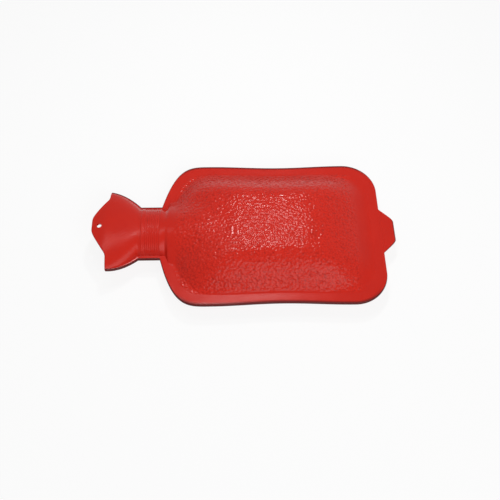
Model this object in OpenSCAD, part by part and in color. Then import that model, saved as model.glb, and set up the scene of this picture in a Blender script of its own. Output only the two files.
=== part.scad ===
// Rubber hot water bottle lying flat: a moulded bladder with a seam rim, a ribbed neck,
// a funnel mouth with a hanging tab, a threaded insert, a screw stopper and its washer.
// X runs along the bottle with the mouth at -X, Y across it and Z up, in millimetres.

/* [Bladder] */
// Length from the root of the neck to the end of the rim
body_len = 260.5; // [235:0.5:285]
// Height of the seam over the surface that the bottle lies on
seam_z = 20; // [19.5:0.5:22.5]
// Width across the rim at its widest
body_w = 193.5; // [178:0.5:208]
// Rise of the upper wall above the rim
crown_h = 27; // [21:0.5:31]
// Depth of the lower wall below the rim, before the floor flattens it
belly_h = 24; // [22:0.5:30]
// Thickness of the rubber wall
wall = 2.4; // [1.8:0.1:3]
// Radius of the two end corners
corner_r = 40; // [30:1:46]
// How far before the root of the neck the shoulders begin
shoulder_start = 3.5; // [1:0.5:5]
// Length along the bottle of the rounded shoulders
shoulder_len = 58.5; // [48:0.5:68]
// How far each long side bows inwards
waist = 2.6; // [0:0.2:6]
// Length of the slope that rises from the neck to the full height
neck_slope = 78; // [60:1:95]
// Width of the slope on each side, from the rim to the full height
side_slope = 42; // [34:1:60]
// Length of the slope at the closed end, from the rim to the full height
end_slope = 72; // [55:1:90]

/* [Seam rim] */
// Width of the flat rim round the bladder
rim_w = 12; // [9:0.5:15]
// Thickness of the rim
rim_t = 4; // [3:0.25:5]
// Chamfer on the edges of the rim
rim_chamfer = 1; // [0.5:0.1:1.4]

/* [Neck] */
// Length of the neck
neck_len = 28.5; // [27:0.5:36]
// Height of the neck
neck_h = 37; // [36.5:0.5:39]
// Width of the neck without its seam fins
neck_w = 63; // [56:0.5:68]
// Width of the seam fin on each side of the neck
fin_w = 5; // [3:0.25:7]
// Number of grip ribs round the neck
rib_count = 8; // [5:1:9]
// Distance from one grip rib to the next
rib_pitch = 2.3; // [1.8:0.1:2.5]
// Depth of the grooves between the ribs
rib_depth = 0.6; // [0.3:0.1:1]

/* [Funnel] */
// Length of the funnel from the neck to the front lip
funnel_len = 36.5; // [34:0.5:44]
// Width of the mouth from corner to corner
mouth_w = 108; // [96:1:116]
// Height of the mouth at its middle
mouth_h = 40; // [38:0.5:45]
// How far the corners of the mouth lie above the seam
mouth_lift = 7.5; // [0:0.5:10]
// Width of the thin corner of the mouth on each side
mouth_fin_w = 2; // [1.4:0.1:3]

/* [Hanging tab] */
// Length of the hanging tab beyond the front lip
hang_len = 17.5; // [15:0.5:24]
// Width of the hanging tab where it leaves the lip
hang_base_w = 77; // [64:1:86]
// Width of the hanging tab at its tip
hang_tip_w = 24; // [20:1:40]
// Diameter of the hanging hole
hole_d = 5.6; // [4:0.2:7]
// Distance from the centre of the hole to the tip
hole_edge = 9; // [7.5:0.5:11]
// How far the tip of the tab hangs below the lip
hang_droop = 1.5; // [0:0.25:3]

/* [End tab] */
// Length of the tab at the closed end
tab_len = 16; // [10:0.5:20]
// Width of the end tab at the rim
tab_base_w = 61; // [44:1:70]
// Width of the end tab at its tip
tab_tip_w = 32; // [20:1:38]
// Thickness of the end tab
tab_t = 3; // [2:0.25:4]
// Radius of the corners of both tabs
tab_r = 4; // [3:0.5:8]

/* [Threaded insert] */
// Bore of the insert, at the crests of its thread
insert_bore = 22; // [20:0.5:23]
// Outer diameter of the insert
insert_d = 29; // [28:0.5:30]
// Length of the insert
insert_len = 20; // [18:0.5:22]
// Diameter of the insert's flange
insert_flange_d = 32; // [31.5:0.5:32.5]
// Depth of the flange's face behind the start of the neck
insert_depth = 3; // [2:0.5:5]
// Thickness of the insert's flange
insert_flange_t = 2.5; // [1.5:0.25:3]
// Number of keying grooves round the insert
key_count = 3; // [1:1:3]
// Width of a keying groove
key_w = 2; // [1:0.25:2.5]
// Depth of a keying groove
key_depth = 1; // [0.5:0.1:1.2]
// Diameter of the water passage behind the insert
passage_d = 24; // [18:0.5:26]

/* [Stopper] */
// Radial clearance between the stopper's core and the insert
core_gap = 0.3; // [0.2:0.05:0.6]
// Length of the stopper's screw
screw_len = 14; // [12:0.5:16]
// Diameter of the stopper's flange
cap_d = 31; // [28:0.5:32]
// Thickness of the stopper's flange
cap_t = 3; // [2:0.25:4]
// Width of the stopper's grip
grip_w = 29; // [24:0.5:30]
// Thickness of the stopper's grip
grip_t = 8; // [6:0.5:11]
// Length of the stopper's grip
grip_len = 20; // [16:0.5:22]
// Radius of the outer corners of the grip
grip_r = 8; // [5:0.5:10]
// Diameter of the hole through the grip
grip_hole_d = 7; // [4:0.5:9]
// Diameter of the hollow in the screw
hollow_d = 14; // [10:0.5:16]
// Depth of the hollow in the screw
hollow_depth = 11; // [6:0.5:12]

/* [Washer] */
// Thickness of the sealing washer
washer_t = 2.5; // [1.5:0.25:3.5]
// Outer diameter of the sealing washer
washer_d = 30; // [27:0.5:32]
// Radial clearance between the washer and the stopper's core
washer_gap = 0.2; // [0.1:0.05:0.4]

/* [Hidden] */
$fn = 64;

rubber_red = [0.78, 0.17, 0.14];
brass = [0.78, 0.62, 0.32];
stopper_white = [0.93, 0.91, 0.86];
washer_grey = [0.25, 0.25, 0.26];

half_t = rim_t/2;
neck_hh = neck_h/2;
body_hw = body_w/2;
core_hw = neck_w/2;
neck_hw = core_hw + fin_w;
mouth_hw = mouth_w/2;

// Places along the bottle, with the middle of its whole length at 0.
total_len = hang_len + funnel_len + neck_len + body_len + tab_len;
tip_x = -total_len/2;
mouth_x = tip_x + hang_len;
neck_x = mouth_x + funnel_len;
root_x = neck_x + neck_len;
shoulder_start_x = root_x - shoulder_start;
shoulder_x = shoulder_start_x + shoulder_len;
end_x = root_x + body_len;
corner_x = end_x - corner_r;
fold_x = end_x - rim_w;
seat_x = neck_x + insert_depth;
insert_end_x = seat_x + insert_len;
core_r = insert_bore/2 - core_gap;

// Softness of the corner between the neck and the shoulder, as a length
root_blend = 2;
// Fullness of the shoulders, of the fold inside them and of the funnel's flare: 2 is round
shoulder_power = 3.7;
fold_power = 3;
flare_power = 1.9;
// Share of the inset by which the fold's shoulders begin after the rim's
fold_lag = 1/3;
// Roundness of the neck and of the mouth: 0.5 is an ellipse and 1 a parabola with sharp corners
neck_round = 0.55;
mouth_round = 0.72;
// Sharpness of the hips where the end slopes meet the side slopes
hip = 3;
// Softness of the fold at the slopes' foot, as a share of their length
fold_soft = 0.2;
// Roundness of the slopes towards the top: 1 is straight
flank_round = 1.6;
// Share of the height by which the top falls from its middle line to the fold
crowning = 0.12;
// Length over which the neck fades into the bladder
neck_fade = 80;
// How late it fades, how far it widens and how softly its sides end there
neck_late = 4;
neck_spread = 0.8;
neck_melt = 2;
// Sharpness with which the neck and the bladder meet
merge = 3;
// Where the hollow of the bladder starts, and the length over which it opens
hollow_x = root_x + 5;
hollow_open = 22;
// Distance of the hollow from the fold, its least height on each side of the seam and its fullness
hollow_inset = 8;
hollow_least = 0.3;
hollow_round = 0.6;
// How much wider the hollow starts than the passage, and how far the passage runs into it
passage_step = 1;
// Room in the funnel beside the insert's flange and above it
flange_side = 2.5;
flange_top = 0.3;
// Points across one wall of a section
across = 16;
// Least width of the flat on the rim
least_flat = 0.3;
// The bead that marks the start of the ribbed part of the neck
bead_x = neck_x + 4;
bead_w = 1.6;
bead_h = 0.5;
bead_slope = 0.3;
rib_end_x = shoulder_start_x;
rib_x = rib_end_x - rib_pitch*rib_count;
// How steeply the ribs and the bead run out towards the fins
rib_fade = 3;
// How far a tab's outline starts before its root line
tab_overlap = 0.5;
// Chamfer on the end of the screw, and depth of the grip's root in the stopper's flange
screw_chamfer = 1;
grip_root = 0.5;
// How far a cutting solid reaches past what it cuts
over = 1;
eps = 0.01;

function clamp(t) = min(1, max(0, t));
function ease(t) = let (c = clamp(t)) c*c*(3 - 2*c);
function mix(a, b, t) = a + (b - a)*t;
function soft_max(a, b) = (a + b + sqrt((a - b)*(a - b) + root_blend*root_blend))/2;
function span(a, b, n) = [for (i = [0:n - 1]) mix(a, b, i/n)];
function dome(t, power) = pow(max(0, 1 - t*t), power);

// Share of the funnel's length passed at x, counted from the neck, and how far it has opened there
function along_funnel(x) = clamp((neck_x - x)/funnel_len);
function flare(x) = 1 - pow(1 - along_funnel(x), flare_power);

// Half width of the bladder's outline at x, moved inwards by inset
function outline(x, inset, power) =
  let (hw = body_hw - inset, neck = neck_hw - root_blend/2 - inset, start = shoulder_start_x + inset*fold_lag)
  x < shoulder_x
    ? neck + (hw - neck)*(1 - pow(clamp((shoulder_x - x)/(shoulder_x - start)), power))
    : x < corner_x
      ? hw - waist*pow(sin(180*(x - shoulder_x)/(corner_x - shoulder_x)), 2)
      : let (r = corner_r - inset, d = min(x - corner_x, r))
        body_hw - corner_r + sqrt(r*r - d*d) - max(0, x - corner_x - r);

// Half widths of the outer edge and of the fold where the flat rim turns up into the wall
function edge_hw(x) = x < neck_x
  ? mix(neck_hw, mouth_hw, flare(x))
  : soft_max(neck_hw - root_blend/2, outline(x, 0, shoulder_power));
function fold_hw(x) = x < neck_x
  ? mix(core_hw, mouth_hw - mouth_fin_w, flare(x))
  : min(edge_hw(x) - fin_w, soft_max(core_hw, outline(x, rim_w, fold_power)));

// Half width of the fold along the sides, which runs straight on past the end's corners
function side_line(x) = x < corner_x ? fold_hw(x) : body_hw - rim_w;

// Height of the seam at x, which rises to the corners of the mouth
function seam(x) = seam_z + mouth_lift*along_funnel(x);

// Grooves and bead on the neck, as a change of height
function neck_detail(x) = x > rib_x - eps && x < rib_end_x + eps
  ? rib_depth*(cos(360*(x - rib_x)/rib_pitch) - 1)/2
  : abs(x - bead_x) < bead_w/2 - eps ? bead_h : 0;

// Rise of the bladder's pillow of height full: four slopes that meet at hips below a nearly level top
function pillow(x, y, full) =
  let (
    f = side_line(x),
    a = 1 - clamp(min((x - root_x)/neck_slope, (fold_x - x)/end_slope)),
    b = 1 - clamp((f - abs(y))/side_slope),
    inside = max(0, 1 - pow(pow(a, hip) + pow(b, hip), 1/hip)),
    soft = inside*inside/(inside + fold_soft)*(1 + fold_soft),
    slope = 1 - pow(max(0, 1 - soft), flank_round)
  )
  full*slope*(1 - crowning*pow(clamp(abs(y)/f), 2));

// Rise of the neck above the rim: it climbs towards the bladder's height full while it widens and fades
function neck_ridge(x, y, full) =
  let (
    s = clamp((x - shoulder_start_x)/neck_fade),
    q = sqrt(s),
    w = min(fold_hw(x), core_hw*(1 + neck_spread*q))
  )
  mix(neck_hh - half_t, full, s)*(1 - pow(s, neck_late))*dome(y/w, mix(neck_round, neck_melt, q));

// Rise of the funnel above its seam at x, where its middle stands at height h over the seam
function funnel_wall(x, y, h) = (h - half_t)*dome(y/fold_hw(x), mix(neck_round, mouth_round, flare(x)));

// Half height of the funnel at x, and how far its upper wall has sunk towards the hanging tab's tip
function funnel_hh(x) = mix(neck_hh, mouth_h/2, flare(x));
function hang_fall(x) = hang_droop*ease((mouth_x - x)/hang_len);

// Rise of the upper wall above the rim, and depth of the lower wall below it
function body_wall(x, y, full) =
  pow(pow(pillow(x, y, full), merge) + pow(neck_ridge(x, y, full), merge), 1/merge);
function detail(x, y) = neck_detail(x)*clamp(rib_fade*dome(y/fold_hw(x), 0.5));
function upper(x, y) = x < neck_x
  ? funnel_wall(x, y, funnel_hh(x) - seam(x) + seam_z - hang_fall(x))
  : body_wall(x, y, crown_h) + detail(x, y);
function lower(x, y) = x < neck_x
  ? funnel_wall(x, y, funnel_hh(x) + seam(x) - seam_z)
  : body_wall(x, y, belly_h) + min(0, detail(x, y));

// Positions across one wall, closer together towards its edges
ring = [for (j = [0:across]) cos(180*j/across)];

// One section of the outside: across the top from +Y to -Y and back underneath
function section(x) =
  let (
    e = edge_hw(x),
    f = min(fold_hw(x), e - rim_chamfer - least_flat),
    t = half_t - (x > end_x - rim_chamfer ? rim_chamfer/2 : 0),
    z = seam(x)
  )
  concat(
    [[x, e, z], [x, e - rim_chamfer, z + t]],
    [for (v = ring) [x, f*v, z + t + upper(x, f*v)]],
    [[x, rim_chamfer - e, z + t], [x, -e, z], [x, rim_chamfer - e, z - t]],
    [for (v = ring) [x, -f*v, max(0, z - t - lower(x, f*v))]],
    [[x, e - rim_chamfer, z - t]]
  );

// One section of a hollow of half width w, from lists of its heights above and below its seam
function hollow_section(x, w, up, down) = concat(
  [for (j = [0:across - 1]) [x, w*ring[j], seam(x) + up[j]]],
  [for (j = [0:across - 1]) [x, -w*ring[j], max(wall, seam(x) - down[j])]]
);

function bladder_hollow(x) =
  let (
    t = ease((x - hollow_x)/hollow_open),
    w = mix(passage_d/2 + passage_step, fold_hw(x) - hollow_inset, t),
    level = half_t - wall - (1 - t)*(neck_hh - wall - passage_d/2)
  )
  hollow_section(x, w,
    [for (v = ring) max(hollow_least, upper(x, w*v) + level)*dome(v*v*v, hollow_round)],
    [for (v = ring) max(hollow_least, lower(x, w*v) + level)*dome(v*v*v, hollow_round)]);

function funnel_hollow(x) =
  let (
    t = clamp((seat_x - x)/(seat_x - mouth_x)),
    w = mix(insert_flange_d/2 + flange_side, fold_hw(mouth_x) - wall, 1 - (1 - t)*(1 - t)),
    h = mix(insert_flange_d/2 + flange_top, mouth_h/2 - wall, t),
    round = mix(neck_round, mouth_round, flare(x)),
    lift = seam(x) - seam_z
  )
  hollow_section(x, w,
    [for (v = ring) (h - lift - hang_fall(x))*dome(v, round)],
    [for (v = ring) (h + lift)*dome(v, round)]);

// A closed skin through sections that each have the same number of points
module skin(sections) {
  n = len(sections[0]);
  last = len(sections) - 1;
  strip = [for (k = [1:n/2 - 2]) each [[k, k + 1, n - k], [k + 1, n - k - 1, n - k]]];
  cap = concat([[0, 1, n - 1]], strip, [[n/2 - 1, n/2, n/2 + 1]]);
  polyhedron(
    points = [for (s = sections) each s],
    faces = concat(
      cap,
      [for (t = cap) [t[2], t[1], t[0]] + last*n*[1, 1, 1]],
      [for (i = [0:last - 1], j = [0:n - 1])
        let (a = i*n + j, b = i*n + (j + 1)%n)
        each [[a, a + n, b], [b, a + n, b + n]]]
    ),
    convexity = 8
  );
}

// Places of the sections, closer together where the form turns faster
end_slope_x = fold_x - end_slope;
end_start = asin(1 - rim_w/corner_r);
outside_xs = concat(
  span(tip_x - 2*over, mouth_x, 4),
  [for (i = [0:9]) mix(neck_x, mouth_x, pow(1 - i/10, 1.4))],
  [neck_x, bead_x - bead_w/2, bead_x - bead_w/2 + bead_slope],
  [bead_x + bead_w/2 - bead_slope, bead_x + bead_w/2],
  span(rib_x, rib_end_x, 2*rib_count),
  [for (i = [0:15]) mix(shoulder_start_x, shoulder_x, pow(i/16, 1.5))],
  span(shoulder_x, end_slope_x, 7),
  [for (i = [0:8]) end_slope_x + end_slope*sin(90*i/9)],
  [for (i = [0:4]) corner_x + corner_r*sin(mix(end_start, 90, i/5))],
  [end_x - rim_chamfer/2, end_x]
);

hollow_xs = concat(
  span(hollow_x, shoulder_x, 9),
  span(shoulder_x, end_slope_x, 6),
  [for (i = [0:9]) end_slope_x + (end_slope - hollow_inset)*sin(90*i/9)]
);

funnel_xs = concat([tip_x - 3*over], span(mouth_x, seat_x - 2*over, 7), [seat_x - 2*over, seat_x]);

// Outline of a tab that points to +X from the line x = 0, its tip corners rounded
module tab_outline(base_w, tip_w, length) {
  lean = atan2((base_w - tip_w)/2, length);
  arc = [for (i = [0:8]) let (a = i*(90 - lean)/8)
    [length - tab_r*(1 - cos(a)), tip_w/2 - tab_r*(1 - sin(a))]];
  polygon(concat([[-tab_overlap, -base_w/2], [0, -base_w/2]],
    [for (i = [8:-1:0]) [arc[i][0], -arc[i][1]]],
    arc, [[0, base_w/2], [-tab_overlap, base_w/2]]));
}

// Solid that turns about the neck's axis, its profile given as [distance from the seat, radius]
module turned(profile) {
  translate([seat_x, 0, seam_z]) rotate([0, 90, 0]) rotate([0, 0, 180])
    rotate_extrude() polygon([for (p = profile) [p[1], p[0]]]);
}

function groove_at(k) = insert_flange_t + (insert_len - insert_flange_t)*(k + 0.5)/key_count;

function insert_profile() = concat(
  [[0, 0], [0, insert_flange_d/2], [insert_flange_t, insert_flange_d/2], [insert_flange_t, insert_d/2]],
  [for (k = [0:key_count - 1]) each [
    [groove_at(k) - key_w/2, insert_d/2], [groove_at(k) - key_w/2, insert_d/2 - key_depth],
    [groove_at(k) + key_w/2, insert_d/2 - key_depth], [groove_at(k) + key_w/2, insert_d/2]]],
  [[insert_len, insert_d/2], [insert_len, 0]]
);

// Everything of the funnel beyond the front lip that isn't hanging tab
module lip_trim() {
  difference() {
    translate([tip_x - hang_len, -body_hw, -over]) cube([2*hang_len, body_w, 3*seam_z]);
    translate([mouth_x, 0, seam_z])
      linear_extrude(3*seam_z) rotate(180) tab_outline(hang_base_w, hang_tip_w, hang_len);
  }
}

module bottle_body() {
  color(rubber_red)
    difference() {
      union() {
        skin([for (x = outside_xs) section(x)]);
        translate([end_x - rim_w/2, 0, seam_z - tab_t/2]) linear_extrude(tab_t)
          tab_outline(tab_base_w, tab_tip_w, tab_len + rim_w/2);
      }
      skin([for (x = hollow_xs) bladder_hollow(x)]);
      skin([for (x = funnel_xs) funnel_hollow(x)]);
      turned(insert_profile());
      translate([insert_end_x - eps, 0, seam_z]) rotate([0, 90, 0])
        cylinder(d = passage_d, h = hollow_x + passage_step - insert_end_x);
      lip_trim();
      translate([tip_x + hole_edge, 0, seam_z]) cylinder(d = hole_d, h = 2*seam_z);
    }
}

module threaded_insert() {
  color(brass)
    difference() {
      turned(insert_profile());
      translate([seat_x - over, 0, seam_z]) rotate([0, 90, 0])
        cylinder(d = insert_bore, h = insert_len + 2*over);
    }
}

module stopper() {
  color(stopper_white)
    difference() {
      union() {
        turned([[-washer_t, 0], [-washer_t, core_r], [screw_len - screw_chamfer, core_r],
          [screw_len, core_r - screw_chamfer], [screw_len, 0]]);
        turned([[-washer_t - cap_t, 0], [-washer_t - cap_t, cap_d/2], [-washer_t, cap_d/2], [-washer_t, 0]]);
        translate([seat_x - washer_t - cap_t + grip_root, 0, seam_z - grip_t/2]) linear_extrude(grip_t)
          rotate(180) {
            translate([0, -grip_w/2]) square([grip_len - grip_r, grip_w]);
            translate([0, grip_r - grip_w/2]) square([grip_len, grip_w - 2*grip_r]);
            for (side = [-1, 1]) translate([grip_len - grip_r, side*(grip_w/2 - grip_r)]) circle(grip_r);
          }
      }
      translate([seat_x + screw_len - hollow_depth, 0, seam_z]) rotate([0, 90, 0])
        cylinder(d = hollow_d, h = hollow_depth + over);
      translate([seat_x - washer_t - cap_t - grip_len/2, 0, 0]) cylinder(d = grip_hole_d, h = 2*seam_z);
    }
}

module sealing_washer() {
  color(washer_grey)
    translate([seat_x - washer_t, 0, seam_z]) rotate([0, 90, 0]) difference() {
      cylinder(d = washer_d, h = washer_t);
      translate([0, 0, -over]) cylinder(r = core_r + washer_gap, h = washer_t + 2*over);
    }
}

bottle_body();
threaded_insert();
stopper();
sealing_washer();
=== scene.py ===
import math

import bmesh
import bpy
import numpy as np
from mathutils import Matrix, Vector


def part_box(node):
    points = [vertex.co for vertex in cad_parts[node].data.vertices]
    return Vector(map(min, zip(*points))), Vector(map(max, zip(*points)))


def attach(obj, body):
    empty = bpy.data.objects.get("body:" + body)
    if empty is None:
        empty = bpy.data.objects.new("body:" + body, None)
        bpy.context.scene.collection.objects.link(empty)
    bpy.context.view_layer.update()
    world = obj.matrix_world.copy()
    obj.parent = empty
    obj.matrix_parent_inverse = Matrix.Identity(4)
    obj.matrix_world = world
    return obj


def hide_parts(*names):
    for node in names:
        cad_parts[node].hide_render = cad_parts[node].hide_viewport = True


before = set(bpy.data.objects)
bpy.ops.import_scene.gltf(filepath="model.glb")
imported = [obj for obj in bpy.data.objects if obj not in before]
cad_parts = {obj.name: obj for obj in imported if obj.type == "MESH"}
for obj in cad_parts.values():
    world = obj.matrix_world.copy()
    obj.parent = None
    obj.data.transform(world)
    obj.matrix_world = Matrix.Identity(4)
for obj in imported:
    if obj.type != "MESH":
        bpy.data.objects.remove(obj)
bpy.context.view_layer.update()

MM = 1000.0  # millimetres in a metre

# Sizes in millimetres, the solid model's own, with the radius or half the size where it gives the whole.
BODY_LEN, BODY_HW, CROWN_H, BELLY_H, WALL = 260.5, 96.75, 27.0, 24.0, 2.4
CORNER_R, SHOULDER_START, SHOULDER_LEN, WAIST = 40.0, 3.5, 58.5, 2.6
RIM_W, HALF_T = 12.0, 2.0
NECK_LEN, NECK_HH, CORE_HW, FIN_W = 28.5, 18.5, 31.5, 5.0
RIB_COUNT, RIB_PITCH, RIB_DEPTH = 8, 2.3, 0.6
FUNNEL_LEN, MOUTH_HW, MOUTH_H, MOUTH_LIFT, MOUTH_FIN = 36.5, 54.0, 40.0, 7.5, 2.0
HANG_LEN, HANG_BASE_W, HANG_TIP_W, HANG_DROOP = 17.5, 77.0, 24.0, 1.5
HOLE_R, HOLE_EDGE = 2.8, 9.0
TAB_LEN, TAB_BASE_W, TAB_TIP_W, TAB_T, TAB_R = 16.0, 61.0, 32.0, 3.0, 4.0
PASSAGE_R = 12.0
INSERT_R, INSERT_LEN, INSERT_DEPTH, FLANGE_R, FLANGE_T, BORE_R = 14.5, 20.0, 3.0, 16.0, 2.5, 11.0
CORE_R, SCREW_LEN, CAP_R, CAP_T = 10.7, 14.0, 15.5, 3.0
GRIP_W, GRIP_T, GRIP_LEN, GRIP_R, GRIP_HOLE_R = 29.0, 8.0, 20.0, 8.0, 3.5
HOLLOW_R, HOLLOW_DEPTH = 7.0, 11.0
WASHER_T, WASHER_R, WASHER_GAP = 2.5, 15.0, 0.2

# Places along the bottle, from the left end of the solid's box, and the seam's height, from the insert's box.
TIP_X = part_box("bottle_body")[0][0]*MM
SEAM_Z = (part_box("threaded_insert")[0][2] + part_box("threaded_insert")[1][2])*MM/2
MOUTH_X = TIP_X + HANG_LEN
NECK_X = MOUTH_X + FUNNEL_LEN
ROOT_X = NECK_X + NECK_LEN
START_X = ROOT_X - SHOULDER_START
SHOULDER_X = START_X + SHOULDER_LEN
END_X = ROOT_X + BODY_LEN
CORNER_X = END_X - CORNER_R
FOLD_X = END_X - RIM_W
SEAT_X = NECK_X + INSERT_DEPTH
RIB_X = START_X - RIB_PITCH*RIB_COUNT
HOLLOW_X = ROOT_X + 5
BEAD_X = NECK_X + 4

# Softness, fullness and small sizes of the form, also the solid model's own.
ROOT_BLEND, SHOULDER_POWER, FOLD_POWER, FLARE_POWER = 2.0, 3.7, 3.0, 1.9
NECK_ROUND, MOUTH_ROUND, HIP, CROWNING = 0.55, 0.72, 3.0, 0.12
NECK_FADE, NECK_LATE, NECK_SPREAD, NECK_MELT, MERGE = 80.0, 4.0, 0.8, 2.0, 3.0
FOLD_LAG = 1/3
BEAD_W, BEAD_H = 1.6, 0.5
SEAM_CLEAR = 3.0                        # how quickly bead and ribs reach full height beside the seams
SEAT_SIDE, SEAT_TOP = 2.5, 0.3          # room beside and above the flange, where the funnel ends
HOLLOW_WIDENS, HOLLOW_INSET = 22.0, 8.0 # length in which the hollow widens, and its distance from the fold
HOLLOW_SQUARE, HOLLOW_ROUND = 3, 0.6    # how square and how full the hollow's section is
GRIP_SUNK = 0.5                         # how far the grip reaches into the stopper's flange

# Form that only the scene has. The bladder's slopes are longer and rounder than the solid's, which leaves the
# crown up to 2.6 mm lower near the hips at its corners.
NECK_SLOPE, SIDE_SLOPE, END_SLOPE, FLANK_ROUND, FOLD_SOFT = 94.0, 51.0, 87.0, 2.1, 0.25
NECK_ENTRY = 0.1                        # share of the neck's fade over which it begins to widen
HANG_SHIFT = 2.0                        # how far the hanging tab leans to the far side
EDGE_R, LIP_R = 1.6, WALL/2             # rounding of the rim's edge and of the lip
END_ROUND = 2.5                         # length of the rounding at the closed end
TAB_STEP, TAB_STEP_LEN = 0.4, 1.2       # start and length of the step from the rim down to the end tab
TAB_FREE = 20.0                         # how far a tab's middle counts as being from the rim's sides
TIP_SOFT = 0.3                          # share of its corner radius by which a tab's tip is moved out first
LEAST_RIM, LEAST_HOLLOW = 1.3, 0.1      # least width of the rim's flat, and least half height of the hollow
ROOT_EASE, ROOT_ROUNDS = 7.0, 60        # reach and rounds of the smoothing at the neck's root
BEAD_REACH, BEAD_SOFT = 0.2, 0.5        # how far the bead's sides spread, and the width in which they rise
FIT = 0.05                              # gap between the rubber and the insert that sits in it
EDGE_SHADE_W, EDGE_SHADE_FADE = 2.0, 1.2      # width of the shade painted along the rim's edge, and of its fading
GRAIN_INSET, GRAIN_FADE = 1.0, 4.0      # how far inside the fold the grain begins, and in what width it rises
GRAIN_START, GRAIN_START_FADE = ROOT_X + 9, 14.0
GRAIN_END, GRAIN_END_FADE = FOLD_X - 13.5, 12.0
THREAD_PITCH, THREAD_H = 4.5, 1.0
INSERT_PLAIN = 2.0                      # length at each end of the insert's bore that has no thread
SCREW_PLAIN, TIP_PLAIN = 1.0, 2.0       # the screw's lengths without thread, from the seat and at its tip
COLLAR_LEN, COLLAR_SLOPE = 0.3, 0.5     # how far past the seat its core stays full, and the slope down
TIP_BEVEL = 1.0                         # bevel at the screw's tip
SEAT_STEP, PASSAGE_STEP = 0.02, 0.1     # lengths of the steps at the flange's seat and behind the insert
MARGIN = 0.01                           # keeps the ribbed stretch's first and last section inside it
AXIS_R = 0.02                           # radius of a turned piece's middle, which is all but closed

# Rounding of the edges of insert, screw, grip and washer, and the steps that draw it.
INSERT_SOFT, SCREW_SOFT, GRIP_SOFT, WASHER_SOFT = 0.3, 0.4, 2.2, 0.5
INSERT_STEPS, SCREW_STEPS, GRIP_STEPS, WASHER_STEPS = 3, 3, 6, 4

# How finely things are drawn: points across a section of the bottle, and sections along it.
WALL_POINTS, RIM_POINTS, EDGE_POINTS = 64, 3, 5
TAB_RINGS, END_RINGS, SLOPE_RINGS, SIDE_RINGS, SHOULDER_RINGS = 29, 12, 45, 57, 59
RIB_RINGS, NECK_RINGS, FUNNEL_RINGS, LIP_RINGS, LIP_TURN = 8, 29, 25, 21, 6
FUNNEL_STEPS, PASSAGE_RINGS, HOLLOW_RINGS, FAR_RINGS, EDGE_SHADE_RINGS = 15, 21, 11, 15, 4
CRISP_RINGS = 3                         # sections beside each tab whose creases stay sharp
# How much closer the sections lie at the start of a stretch.
SHOULDER_GATHER, FUNNEL_GATHER, LIP_GATHER = 1.7, 1.15, 1.2
LIP_X = MOUTH_X + 6                     # where the hanging tab begins to reach out
UNDER_TAB = 0.3                         # share of the funnel's inside that lies under the hanging tab's reach
LAST_TURN = 1.5                         # angle at which the hollow's far end stops, just short of closed
KEEP_IN = 0.998                         # share of the mouth's width that the inside keeps to
STITCH = 0.001                          # gap that keeps two sections apart
SLOPE_STEP, STEEPEST = 0.05, 20.0       # step over which an outline's slope is taken, and its limit
# Points round turned pieces, the grip and the hanging hole, along a turn of a thread and round its ridge,
# how often the grip's outline is halved in on, and the angles past which an edge looks sharp.
TURN_POINTS, GRIP_POINTS, HOLE_POINTS = 96, 128, 48
SPIRAL_POINTS, RIDGE_POINTS, HALVINGS = 64, 10, 40
SHARP, HOLE_SHARP = math.radians(40), math.radians(50)

# The photograph's view, in degrees and metres, and the lens in millimetres.
VIEW_UP, VIEW_SIDE, VIEW_ROLL = 60.0, 3.2, 2.1
VIEW_DISTANCE, VIEW_TARGET = 0.8, Vector((0.0050, -0.0254, 0.022))
SENSOR, LENS = 36.0, 49.03
LAMP_TARGET = Vector((0.02, 0, 0.02))
FLOOR_HALF = 6000.0                     # half the floor's width, in millimetres
FLOOR_GLOW = 0.88                       # share of pure white in the floor, the rest is its shaded paint
ROOM_LIGHT = 0.2                        # strength of the pale room's own light


# Small tools

def linear(code):
    """An sRGB hex colour as linear red, green, blue and alpha."""
    parts = [int(code[i:i + 2], 16)/255 for i in (1, 3, 5)]
    return tuple(c/12.92 if c <= 0.04045 else ((c + 0.055)/1.055)**2.4 for c in parts) + (1.0,)


def add(tree, kind, sockets=None, **settings):
    """Adds a node with its settings. sockets maps an input to a value or to the output that feeds it."""
    node = tree.nodes.new(kind)
    for name, value in settings.items():
        setattr(node, name, value)
    for name, value in (sockets or {}).items():
        if isinstance(value, bpy.types.NodeSocket):
            tree.links.new(value, node.inputs[name])
        else:
            node.inputs[name].default_value = value
    return node


def clamp(t):
    return np.clip(t, 0.0, 1.0)


def ease(t):
    c = clamp(t)
    return c*c*(3 - 2*c)


def mix(a, b, t):
    return a + (b - a)*t


def soft_max(a, b, r):
    return (a + b + np.sqrt((a - b)**2 + r*r))/2


def dome(t, power):
    return np.maximum(0, 1 - t*t)**power


# The bottle's form

def along_funnel(x):
    return clamp((NECK_X - x)/FUNNEL_LEN)


def flare(x):
    return 1 - (1 - along_funnel(x))**FLARE_POWER


def outline(x, inset, power):
    """Half width of the bladder at x, moved inwards by inset."""
    hw, neck = BODY_HW - inset, CORE_HW + FIN_W - ROOT_BLEND/2 - inset
    t = clamp((SHOULDER_X - x)/(SHOULDER_X - START_X - inset*FOLD_LAG))
    shoulder = neck + (hw - neck)*(1 - t**power)
    side = hw - WAIST*np.sin(np.pi*clamp((x - SHOULDER_X)/(CORNER_X - SHOULDER_X)))**2
    r = CORNER_R - inset
    d = np.clip(x - CORNER_X, 0, r)
    corner = BODY_HW - CORNER_R + np.sqrt(r*r - d*d) - np.maximum(0, x - CORNER_X - r)
    return np.where(x < SHOULDER_X, shoulder, np.where(x < CORNER_X, side, corner))


def edge_hw(x):
    """Half width of the outer edge."""
    return np.where(x < NECK_X, mix(CORE_HW + FIN_W, MOUTH_HW, flare(x)),
                    soft_max(CORE_HW + FIN_W - ROOT_BLEND/2, outline(x, 0, SHOULDER_POWER), ROOT_BLEND))


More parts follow.
